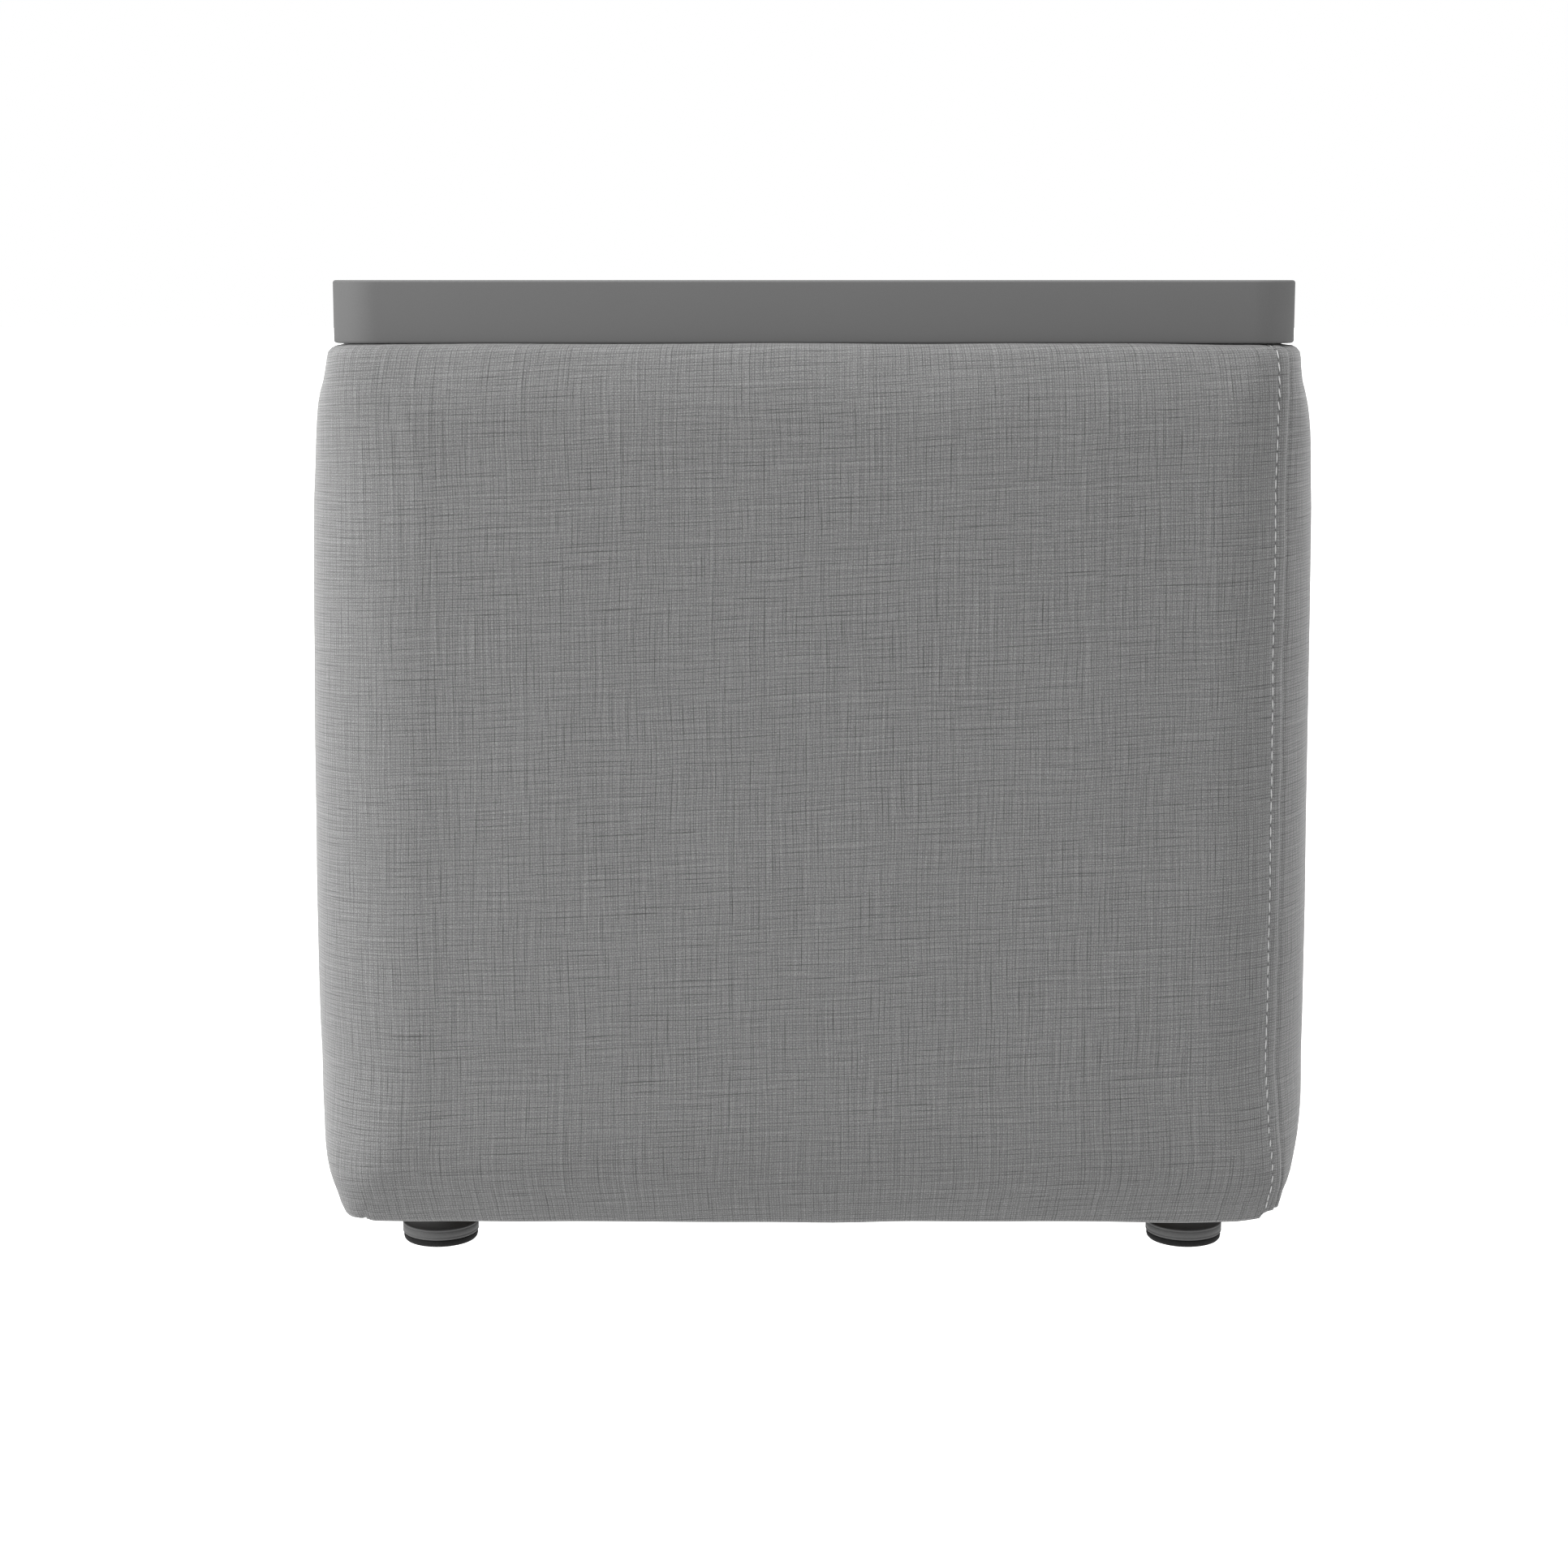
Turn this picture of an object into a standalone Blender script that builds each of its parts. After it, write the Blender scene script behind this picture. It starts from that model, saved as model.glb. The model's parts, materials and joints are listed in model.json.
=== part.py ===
"""Ottoman with storage: a foam-padded board case under a sewn fabric cover, four glides, and a lift-off lid.

Metres, +Z up. The front faces -Y, the middle of the case is on the Z axis and the glides stand on Z = 0.
"""

import math

import bmesh
import bpy
from mathutils import Matrix, Vector

# Overall sizes, over the fabric at its fullest.
BODY_WIDTH = 0.459
BODY_DEPTH = 0.459
TOTAL_HEIGHT = 0.450
CORNER_RADIUS = 0.050

# Clearance between two pieces that touch.
GAP = 0.0003

# Cover: the fabric, its lowest face, and the hem turned down inside the case and in under it.
COVER_THICK = 0.0012
COVER_BOTTOM = 0.021
HEM_DROP = 0.040
HEM_UNDER = 0.0395

# The upholstered edge, as (how far inside the fullest outline, how far from the cover's top or bottom face).
TOP_CURVE = (
    (0.0175, 0.0000),
    (0.0140, 0.0004),
    (0.0111, 0.0025),
    (0.0089, 0.0080),
    (0.0067, 0.0170),
    (0.0042, 0.0320),
    (0.0029, 0.0570),
    (0.0012, 0.1460),
)
BOTTOM_CURVE = (
    (0.0175, 0.0000),
    (0.0130, 0.0015),
    (0.0090, 0.0040),
    (0.0049, 0.0100),
    (0.0027, 0.0180),
    (0.0009, 0.0340),
    (0.0000, 0.0700),
)
CORNER_STEPS = 6

# Case: walls, floor board and foam.
FOAM_THICK = 0.024
WALL_THICK = 0.012
BASE_THICK = 0.015
GRIP_THICK = 0.0012
GRIP_MARGIN = 0.0015
GRIP_SHARE = 0.75
DUST_THICK = 0.0008
DUST_HOLE_CLEARANCE = 0.0008
LINER_THICK = 0.0012
LINER_BELOW_TOP = 0.0119

# Wood screws: head, shank, and the clearance of their bores.
SCREW_HEAD_RADIUS = 0.0040
SCREW_HEAD_HEIGHT = 0.0025
SCREW_RADIUS = 0.0020
SCREW_LENGTH = 0.038
RAIL_SCREW_LENGTH = 0.031
WALL_SCREW_SHARES = (0.22, 0.78)

# Glides: a plastic disc on a neck, a screw through both and a rubber pad under them.
FOOT_INSET = 0.0529
FOOT_RADIUS = 0.0180
FOOT_PAD_RADIUS = 0.0175
FOOT_PAD_HEIGHT = 0.0034
FOOT_PAD_ROUNDING = 0.0018
FOOT_RIM_TOP = 0.0085
FOOT_RIM_CHAMFER = 0.0005
FOOT_CONE_RISE = 0.0025
FOOT_NECK_RADIUS = 0.0090
FOOT_SCREW_RADIUS = 0.0025
FOOT_SCREW_HEAD_RADIUS = 0.0055
FOOT_SCREW_HEAD_HEIGHT = 0.0030
FOOT_SCREW_BITE = 0.0120

# Lid: a moulded cap, the board inside it, four rails that locate it and four bumpers.
LID_SETBACK = 0.0145
LID_HEIGHT = 0.0278
LID_CORNER_RADIUS = 0.022
LID_WALL = 0.003
LID_EDGE_ROUNDING = 0.0011
LID_BOARD_THICK = 0.018
RAIL_WIDTH = 0.015
RAIL_HEIGHT = 0.0204
RAIL_CLEARANCE = 0.002
RAIL_END_CUT = 0.010
BUMPER_RADIUS = 0.007
BUMPER_INSET = 0.0345

# Levels and outlines that follow from the sizes above.
HALF_X = BODY_WIDTH / 2
HALF_Y = BODY_DEPTH / 2
LID_BOTTOM = TOTAL_HEIGHT - LID_HEIGHT
COVER_TOP = LID_BOTTOM - GAP
SKIN = COVER_THICK + GAP
CASE_INSET = SKIN + FOAM_THICK + GAP
INNER_INSET = CASE_INSET + WALL_THICK
HEM_INSET = INNER_INSET + GAP + COVER_THICK
LINER_INSET = HEM_INSET + GAP
WALL_TOP = COVER_TOP - SKIN
GRIP_BOTTOM = COVER_BOTTOM + SKIN
WALL_BOTTOM = GRIP_BOTTOM + GRIP_THICK + GAP
BASE_TOP = WALL_BOTTOM + BASE_THICK
LID_HALF_X = HALF_X - LID_SETBACK
LID_HALF_Y = HALF_Y - LID_SETBACK
LID_BOARD_TOP = TOTAL_HEIGHT - LID_WALL - GAP
LID_BOARD_BOTTOM = LID_BOARD_TOP - LID_BOARD_THICK
RAIL_TOP = LID_BOARD_BOTTOM - GAP
RAIL_INSET = LINER_INSET + LINER_THICK + RAIL_CLEARANCE
FOOT_X = HALF_X - FOOT_INSET
FOOT_Y = HALF_Y - FOOT_INSET


def clear_scene():
    for obj in list(bpy.data.objects):
        bpy.data.objects.remove(obj, do_unlink=True)


def new_collection(name):
    made = bpy.data.collections.new(name)
    bpy.context.scene.collection.children.link(made)
    return made


clear_scene()
parts = new_collection("storage_ottoman")
cutters = new_collection("cutters")
cutters.hide_render = True


def material(name, colour, roughness, metallic=0.0):
    made = bpy.data.materials.new(name)
    made.use_nodes = True
    shader = made.node_tree.nodes["Principled BSDF"]
    shader.inputs["Base Color"].default_value = (*colour, 1.0)
    shader.inputs["Roughness"].default_value = roughness
    shader.inputs["Metallic"].default_value = metallic
    made.diffuse_color = (*colour, 1.0)
    return made


cover_fabric = material("cover_fabric", (0.190, 0.190, 0.190), 0.95)
liner_fabric = material("liner_fabric", (0.060, 0.060, 0.062), 0.95)
dust_fabric = material("dust_fabric", (0.020, 0.020, 0.021), 0.95)
grip_tape = material("grip_tape", (0.045, 0.045, 0.047), 0.90)
pad_foam = material("pad_foam", (0.700, 0.680, 0.600), 0.95)
case_board = material("case_board", (0.480, 0.350, 0.220), 0.75)
lid_plastic = material("lid_plastic", (0.140, 0.140, 0.140), 0.55)
foot_plastic = material("foot_plastic", (0.090, 0.090, 0.090), 0.50)
foot_rubber = material("foot_rubber", (0.020, 0.020, 0.020), 0.85)
screw_steel = material("screw_steel", (0.560, 0.560, 0.550), 0.35, 1.0)


def new_object(name, shape, look=None):
    mesh = bpy.data.meshes.new(name)
    bmesh.ops.recalc_face_normals(shape, faces=shape.faces)
    shape.to_mesh(mesh)
    shape.free()
    obj = bpy.data.objects.new(name, mesh)
    if look is None:
        cutters.objects.link(obj)
        obj.display_type = "WIRE"
        obj.hide_render = True
    else:
        parts.objects.link(obj)
        mesh.materials.append(look)
    return obj


def combine(target, tool, operation):
    modifier = target.modifiers.new(tool.name, "BOOLEAN")
    modifier.operation = operation
    modifier.solver = "EXACT"
    modifier.object = tool
    return target


def box(name, low, high, look=None):
    """A plain board between two opposite corners."""
    shape = bmesh.new()
    bmesh.ops.create_cube(shape, size=1.0)
    size = [b - a for a, b in zip(low, high)]
    middle = [(a + b) / 2 for a, b in zip(low, high)]
    bmesh.ops.scale(shape, vec=size, verts=shape.verts)
    bmesh.ops.translate(shape, vec=middle, verts=shape.verts)
    return new_object(name, shape, look)


def rounded_board(name, half_x, half_y, radius, bottom, top, look=None, edge=0.0):
    """A board with rounded upright corners and, when edge is over 0, softened upper and lower edges."""
    shape = bmesh.new()
    bmesh.ops.create_cube(shape, size=1.0)
    bmesh.ops.scale(shape, vec=(2 * half_x, 2 * half_y, top - bottom), verts=shape.verts)
    bmesh.ops.translate(shape, vec=(0, 0, (top + bottom) / 2), verts=shape.verts)
    upright = [e for e in shape.edges if abs(e.verts[0].co.z - e.verts[1].co.z) > (top - bottom) / 2]
    bmesh.ops.bevel(
        shape,
        geom=upright,
        offset=radius,
        offset_type="OFFSET",
        segments=CORNER_STEPS,
        profile=0.5,
        affect="EDGES",
        clamp_overlap=True,
    )
    if edge > 0:
        level = [e for e in shape.edges if abs(e.verts[0].co.z - e.verts[1].co.z) < 1e-7]
        bmesh.ops.bevel(
            shape,
            geom=level,
            offset=edge,
            offset_type="OFFSET",
            segments=2,
            profile=0.5,
            affect="EDGES",
            clamp_overlap=True,
        )
    return new_object(name, shape, look)


def turned(name, profile, place, look=None, segments=24, turn=None):
    """A solid of revolution. The profile is (radius, height) from one end of the axis to the other."""
    shape = bmesh.new()
    points = [shape.verts.new((radius, 0.0, height)) for radius, height in profile]
    edges = [shape.edges.new(pair) for pair in zip(points, points[1:])]
    bmesh.ops.spin(
        shape,
        geom=points + edges,
        cent=(0, 0, 0),
        axis=(0, 0, 1),
        angle=2 * math.pi,
        steps=segments,
        use_merge=True,
    )
    bmesh.ops.remove_doubles(shape, verts=shape.verts, dist=1e-6)
    if turn is not None:
        bmesh.ops.transform(shape, matrix=turn, verts=shape.verts)
    bmesh.ops.translate(shape, vec=place, verts=shape.verts)
    return new_object(name, shape, look)


def outline(inset, height):
    """The case's rounded square at one height, inset from the fullest outline, as points in order."""
    radius = max(CORNER_RADIUS - inset, 0.002)
    points = []
    for quarter, (side_x, side_y) in enumerate(((1, 1), (-1, 1), (-1, -1), (1, -1))):
        middle_x = side_x * (HALF_X - inset - radius)
        middle_y = side_y * (HALF_Y - inset - radius)
        for step in range(CORNER_STEPS + 1):
            angle = (quarter + step / CORNER_STEPS) * math.pi / 2
            points.append((middle_x + radius * math.cos(angle), middle_y + radius * math.sin(angle), height))
    return points


def lofted(name, stations, look=None, ring=False):
    """A skin through the outline at each (inset, height). A ring closes on its first station, and any other is capped."""
    shape = bmesh.new()
    loops = [[shape.verts.new(point) for point in outline(*station)] for station in stations]
    pairs = list(zip(loops, loops[1:]))
    if ring:
        pairs.append((loops[-1], loops[0]))
    for lower, upper in pairs:
        for i in range(len(lower)):
            j = (i + 1) % len(lower)
            shape.faces.new((lower[i], lower[j], upper[j], upper[i]))
    if not ring:
        shape.faces.new(loops[0])
        shape.faces.new(loops[-1])
    return new_object(name, shape, look)


def side_profile():
    """The outside of the cover from its top face to its bottom face, as (inset, height)."""
    upper = [(inset, COVER_TOP - drop) for inset, drop in TOP_CURVE]
    lower = [(inset, COVER_BOTTOM + rise) for inset, rise in reversed(BOTTOM_CURVE)]
    return upper + lower


def moved_in(profile, depth):
    """The profile moved towards the inside by depth, square to each of its stretches."""
    moved = []
    for i, (inset, height) in enumerate(profile):
        before = profile[max(i - 1, 0)]
        after = profile[min(i + 1, len(profile) - 1)]
        along = Vector((after[0] - before[0], after[1] - before[1])).normalized()
        moved.append((inset - along.y * depth, height + along.x * depth))
    return moved


def screw_profile(length, clearance=0.0):
    """A pan-head screw that points up, with its head's outer face at 0."""
    head = SCREW_HEAD_RADIUS + clearance
    shank = SCREW_RADIUS + clearance
    under = SCREW_HEAD_HEIGHT + clearance
    foot = -clearance * 2
    return ((0, foot), (head, foot), (head, under), (shank, under), (shank, length + clearance), (0, length + clearance))


def wood_screw(name, place, direction, length, through):
    """A screw along a direction, with its bore cut in each piece that it goes through."""
    turn = Vector((0, 0, 1)).rotation_difference(Vector(direction)).to_matrix().to_4x4()
    turned(name, screw_profile(length), place, screw_steel, 12, turn)
    bore = turned(name + "_bore", screw_profile(length, GAP), place, None, 12, turn)
    for piece in through:
        combine(piece, bore, "DIFFERENCE")


# Walls: the front and back run the full width, and the sides stand between them.
case_x = HALF_X - CASE_INSET
case_y = HALF_Y - CASE_INSET
room_x = HALF_X - INNER_INSET
room_y = HALF_Y - INNER_INSET
walls = {
    "front": box("wall_front", (-case_x, -case_y, WALL_BOTTOM), (case_x, -room_y, WALL_TOP), case_board),
    "back": box("wall_back", (-case_x, room_y, WALL_BOTTOM), (case_x, case_y, WALL_TOP), case_board),
    "left": box("wall_left", (-case_x, -room_y + GAP, WALL_BOTTOM), (-room_x, room_y - GAP, WALL_TOP), case_board),
    "right": box("wall_right", (room_x, -room_y + GAP, WALL_BOTTOM), (case_x, room_y - GAP, WALL_TOP), case_board),
}
base_board = box(
    "base_board",
    (-room_x + GAP, -room_y + GAP, WALL_BOTTOM),
    (room_x - GAP, room_y - GAP, BASE_TOP),
    case_board,
)

# Screws through the front and back walls into the ends of the side walls, and through all four into the base board.
screw_recess = 2 * GAP
wall_middle_x = case_x - WALL_THICK / 2
for end, side_y in (("front", -1), ("back", 1)):
    for side, side_x in (("left", -1), ("right", 1)):
        for level, share in zip(("low", "high"), WALL_SCREW_SHARES):
            height = WALL_BOTTOM + share * (WALL_TOP - WALL_BOTTOM)
            wood_screw(
                f"wall_screw_{end}_{side}_{level}",
                (side_x * wall_middle_x, side_y * (case_y - screw_recess), height),
                (0, -side_y, 0),
                SCREW_LENGTH,
                (walls[end], walls[side]),
            )
base_level = WALL_BOTTOM + BASE_THICK / 2
for side, (side_x, side_y) in {"front": (0, -1), "back": (0, 1), "left": (-1, 0), "right": (1, 0)}.items():
    wood_screw(
        f"base_screw_{side}",
        (side_x * (case_x - screw_recess), side_y * (case_y - screw_recess), base_level),
        (-side_x, -side_y, 0),
        SCREW_LENGTH,
        (walls[side], base_board),
    )

# Foam: one pad on each wall, shaped by the inside of the cover.
foam_form = lofted("foam_form", moved_in(side_profile(), SKIN))
pad_inner_x = case_x + GAP
pad_inner_y = case_y + GAP
pad_regions = {
    "front": ((-HALF_X, -HALF_Y, 0), (HALF_X, -pad_inner_y, TOTAL_HEIGHT)),
    "back": ((-HALF_X, pad_inner_y, 0), (HALF_X, HALF_Y, TOTAL_HEIGHT)),
    "left": ((-HALF_X, -pad_inner_y + GAP, 0), (-pad_inner_x, pad_inner_y - GAP, TOTAL_HEIGHT)),
    "right": ((pad_inner_x, -pad_inner_y + GAP, 0), (HALF_X, pad_inner_y - GAP, TOTAL_HEIGHT)),
}
for side, (low, high) in pad_regions.items():
    combine(box(f"foam_{side}", low, high, pad_foam), foam_form, "INTERSECT")

# Cover: down the outside, over the wall tops into the case, and in under the walls.
hem_low = COVER_TOP - HEM_DROP
hem_corner = COVER_THICK / 2
outside = [(HEM_INSET, hem_low), (HEM_INSET, COVER_TOP - hem_corner), (HEM_INSET - hem_corner, COVER_TOP)]
outside += side_profile()
outside.append((HEM_UNDER, COVER_BOTTOM))
hidden = [(HEM_INSET - COVER_THICK, hem_low), (HEM_INSET - COVER_THICK, COVER_TOP - COVER_THICK)]
hidden += moved_in(side_profile(), COVER_THICK)
hidden.append((HEM_UNDER, COVER_BOTTOM + COVER_THICK))
lofted("fabric_cover", outside + hidden[::-1], cover_fabric, ring=True)

# Hook-and-loop strips between the cover's lower hem and the walls.
grip_top = GRIP_BOTTOM + GRIP_THICK
for side, sign in (("front", -1), ("back", 1)):
    reach = GRIP_SHARE * case_x
    rows = sorted((sign * (case_y - GRIP_MARGIN), sign * (room_y + GRIP_MARGIN)))
    box(f"cover_grip_{side}", (-reach, rows[0], GRIP_BOTTOM), (reach, rows[1], grip_top), grip_tape)
for side, sign in (("left", -1), ("right", 1)):
    reach = GRIP_SHARE * case_y
    rows = sorted((sign * (case_x - GRIP_MARGIN), sign * (room_x + GRIP_MARGIN)))
    box(f"cover_grip_{side}", (rows[0], -reach, GRIP_BOTTOM), (rows[1], reach, grip_top), grip_tape)

# Storage liner: a thin open box that stands on the base board and holds the cover's upper hem.
liner_bottom = BASE_TOP + GAP
liner_top = COVER_TOP - LINER_BELOW_TOP
liner_radius = CORNER_RADIUS - LINER_INSET
liner = rounded_board(
    "storage_liner",
    HALF_X - LINER_INSET,
    HALF_Y - LINER_INSET,
    liner_radius,
    liner_bottom,
    liner_top,
    liner_fabric,
)
liner_room = rounded_board(
    "liner_room",
    HALF_X - LINER_INSET - LINER_THICK,
    HALF_Y - LINER_INSET - LINER_THICK,
    liner_radius - LINER_THICK,
    liner_bottom + LINER_THICK,
    liner_top + LINER_THICK,
)
combine(liner, liner_room, "DIFFERENCE")

# Dust cover: a sheet under the base board, with a hole round each glide's neck.
dust_top = WALL_BOTTOM - GAP
dust_cover = box(
    "dust_cover",
    (-room_x + GAP, -room_y + GAP, dust_top - DUST_THICK),
    (room_x - GAP, room_y - GAP, dust_top),
    dust_fabric,
)

# Glides, each with its screw up into the base board.
counterbore_top = FOOT_PAD_HEIGHT + GAP + FOOT_SCREW_HEAD_HEIGHT + 2 * GAP
disc_bottom = FOOT_PAD_HEIGHT + GAP
neck_top = WALL_BOTTOM - GAP
bore_radius = FOOT_SCREW_RADIUS + GAP
counterbore_radius = FOOT_SCREW_HEAD_RADIUS + GAP
disc_profile = (
    (bore_radius, neck_top),
    (FOOT_NECK_RADIUS, neck_top),
    (FOOT_NECK_RADIUS, FOOT_RIM_TOP + FOOT_CONE_RISE),
    (FOOT_RADIUS - 2 * FOOT_RIM_CHAMFER, FOOT_RIM_TOP),
    (FOOT_RADIUS - FOOT_RIM_CHAMFER / 2, FOOT_RIM_TOP - FOOT_RIM_CHAMFER / 2),
    (FOOT_RADIUS, FOOT_RIM_TOP - FOOT_RIM_CHAMFER),
    (FOOT_RADIUS, disc_bottom + FOOT_RIM_CHAMFER),
    (FOOT_RADIUS - FOOT_RIM_CHAMFER, disc_bottom),
    (counterbore_radius, disc_bottom),
    (counterbore_radius, counterbore_top),
    (bore_radius, counterbore_top),
    (bore_radius, neck_top),
)
pad_profile = (
    (0, 0),
    (FOOT_PAD_RADIUS - FOOT_PAD_ROUNDING, 0),
    (FOOT_PAD_RADIUS - 0.3 * FOOT_PAD_ROUNDING, 0.3 * FOOT_PAD_ROUNDING),
    (FOOT_PAD_RADIUS, FOOT_PAD_ROUNDING),
    (FOOT_PAD_RADIUS, FOOT_PAD_HEIGHT),
    (0, FOOT_PAD_HEIGHT),
)
head_bottom = disc_bottom + GAP
head_top = head_bottom + FOOT_SCREW_HEAD_HEIGHT
screw_top = WALL_BOTTOM + FOOT_SCREW_BITE
foot_screw_profile = (
    (0, head_bottom),
    (FOOT_SCREW_HEAD_RADIUS, head_bottom),
    (FOOT_SCREW_HEAD_RADIUS, head_top),
    (FOOT_SCREW_RADIUS, head_top),
    (FOOT_SCREW_RADIUS, screw_top),
    (0, screw_top),
)
for end, side_y in (("front", -1), ("back", 1)):
    for side, side_x in (("left", -1), ("right", 1)):
        place = (side_x * FOOT_X, side_y * FOOT_Y, 0)
        turned(f"foot_disc_{end}_{side}", disc_profile, place, foot_plastic, 32)
        turned(f"foot_pad_{end}_{side}", pad_profile, place, foot_rubber, 32)
        turned(f"foot_screw_{end}_{side}", foot_screw_profile, place, screw_steel, 12)
        pilot = ((0, 0), (bore_radius, 0), (bore_radius, screw_top + GAP), (0, screw_top + GAP))
        combine(base_board, turned(f"foot_pilot_{end}_{side}", pilot, place, None, 12), "DIFFERENCE")
        hole_radius = FOOT_NECK_RADIUS + DUST_HOLE_CLEARANCE
        hole = ((0, 0), (hole_radius, 0), (hole_radius, neck_top + GAP), (0, neck_top + GAP))
        combine(dust_cover, turned(f"dust_hole_{end}_{side}", hole, place, None, 24), "DIFFERENCE")

# Lid: everything below lifts off together, straight up from where its skirt rests on the cover.
lid_pieces = []
lid_shell = rounded_board(
    "lid_shell",
    LID_HALF_X,
    LID_HALF_Y,
    LID_CORNER_RADIUS,
    LID_BOTTOM,
    TOTAL_HEIGHT,
    lid_plastic,
    LID_EDGE_ROUNDING,
)
shell_room = rounded_board(
    "shell_room",
    LID_HALF_X - LID_WALL,
    LID_HALF_Y - LID_WALL,
    LID_CORNER_RADIUS - LID_WALL,
    LID_BOTTOM - LID_WALL,
    TOTAL_HEIGHT - LID_WALL,
)
combine(lid_shell, shell_room, "DIFFERENCE")
board_inset = LID_WALL + GAP
lid_board = rounded_board(
    "lid_board",
    LID_HALF_X - board_inset,
    LID_HALF_Y - board_inset,
    LID_CORNER_RADIUS - board_inset,
    LID_BOARD_BOTTOM,
    LID_BOARD_TOP,
    case_board,
)
lid_pieces += [lid_shell, lid_board]

# Rails under the lid board, which drop inside the storage liner.
rail_x = HALF_X - RAIL_INSET
rail_y = HALF_Y - RAIL_INSET
rail_low = RAIL_TOP - RAIL_HEIGHT
end_reach = rail_x - RAIL_END_CUT
side_reach = rail_y - RAIL_WIDTH - GAP
rails = {
    "front": ((-end_reach, -rail_y, rail_low), (end_reach, -rail_y + RAIL_WIDTH, RAIL_TOP)),
    "back": ((-end_reach, rail_y - RAIL_WIDTH, rail_low), (end_reach, rail_y, RAIL_TOP)),
    "left": ((-rail_x, -side_reach, rail_low), (-rail_x + RAIL_WIDTH, side_reach, RAIL_TOP)),
    "right": ((rail_x - RAIL_WIDTH, -side_reach, rail_low), (rail_x, side_reach, RAIL_TOP)),
}
for side, (low, high) in rails.items():
    rail = box(f"lid_rail_{side}", low, high, case_board)
    name = f"lid_screw_{side}"
    place = ((low[0] + high[0]) / 2, (low[1] + high[1]) / 2, rail_low + screw_recess)
    wood_screw(name, place, (0, 0, 1), RAIL_SCREW_LENGTH, (rail, lid_board))
    lid_pieces += [rail, bpy.data.objects[name]]

# Bumpers that stand on the cover over the corners of the walls.
bumper_x = HALF_X - BUMPER_INSET
bumper_y = HALF_Y - BUMPER_INSET
bumper_low = COVER_TOP + GAP
bumper_profile = ((0, bumper_low), (BUMPER_RADIUS, bumper_low), (BUMPER_RADIUS, RAIL_TOP), (0, RAIL_TOP))
for end, side_y in (("front", -1), ("back", 1)):
    for side, side_x in (("left", -1), ("right", 1)):
        place = (side_x * bumper_x, side_y * bumper_y, 0)
        lid_pieces.append(turned(f"lid_bumper_{end}_{side}", bumper_profile, place, foot_rubber, 16))

# The lid's pieces hang from one empty on the line that the lid lifts along.
lid_lift = bpy.data.objects.new("lid_lift", None)
parts.objects.link(lid_lift)
lid_lift.location = (0, 0, LID_BOTTOM)
for piece in lid_pieces:
    piece.parent = lid_lift
    piece.matrix_parent_inverse = Matrix.Translation((0, 0, -LID_BOTTOM))
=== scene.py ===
import functools
import json
import math
import random

import bmesh
import bpy
import numpy as np
from mathutils import Matrix, Vector, noise


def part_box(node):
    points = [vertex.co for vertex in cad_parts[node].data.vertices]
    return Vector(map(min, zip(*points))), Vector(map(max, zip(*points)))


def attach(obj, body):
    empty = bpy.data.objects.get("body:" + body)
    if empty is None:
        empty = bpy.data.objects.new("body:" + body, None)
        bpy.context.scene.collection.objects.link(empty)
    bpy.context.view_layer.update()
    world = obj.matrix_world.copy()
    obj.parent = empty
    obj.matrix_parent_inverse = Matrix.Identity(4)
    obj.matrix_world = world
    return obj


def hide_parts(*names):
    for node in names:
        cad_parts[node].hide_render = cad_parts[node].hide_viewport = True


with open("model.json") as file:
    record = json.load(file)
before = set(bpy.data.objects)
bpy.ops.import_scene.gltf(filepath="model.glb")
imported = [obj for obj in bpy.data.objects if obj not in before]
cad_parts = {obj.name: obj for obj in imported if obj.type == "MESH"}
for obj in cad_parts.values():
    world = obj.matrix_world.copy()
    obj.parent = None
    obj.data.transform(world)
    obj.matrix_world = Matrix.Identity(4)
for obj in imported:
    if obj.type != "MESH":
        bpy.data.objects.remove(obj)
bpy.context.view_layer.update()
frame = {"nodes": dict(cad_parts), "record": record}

scene = bpy.context.scene
dice = random.Random(7)
tiny = 1e-6  # metres, under which two heights are the same

# The camera, and the studio round the ottoman.
cameraSpec = {
    "place": (-0.0134, -1.4855, 0.4472),
    "pitch": 8.5,  # degrees below level
    "lens": 65.6,
    "shiftY": -0.045,
    "clip": (0.05, 60.0),
}
studioSpec = {
    "floorSize": 60.0,
    "floorColour": 0.10,
    "floorRoughness": 0.9,
    "floorGlow": 1.60,
    "skySeen": 1.0,
    "skyLight": 0.35,
    "overhead": {"power": 8.4, "spread": 50, "lean": (3, -4), "height": 2.0},
    "lamps": (
        # name, place, aimed at, width, height, watts
        ("keyLamp", (-1.25, -0.72, 0.46), (0, -0.2, 0.22), 0.7, 0.9, 21.0),
        ("fillLamp", (1.9, -0.55, 0.5), (0.2, -0.2, 0.22), 0.8, 0.9, 6.2),
    ),
}


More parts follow.
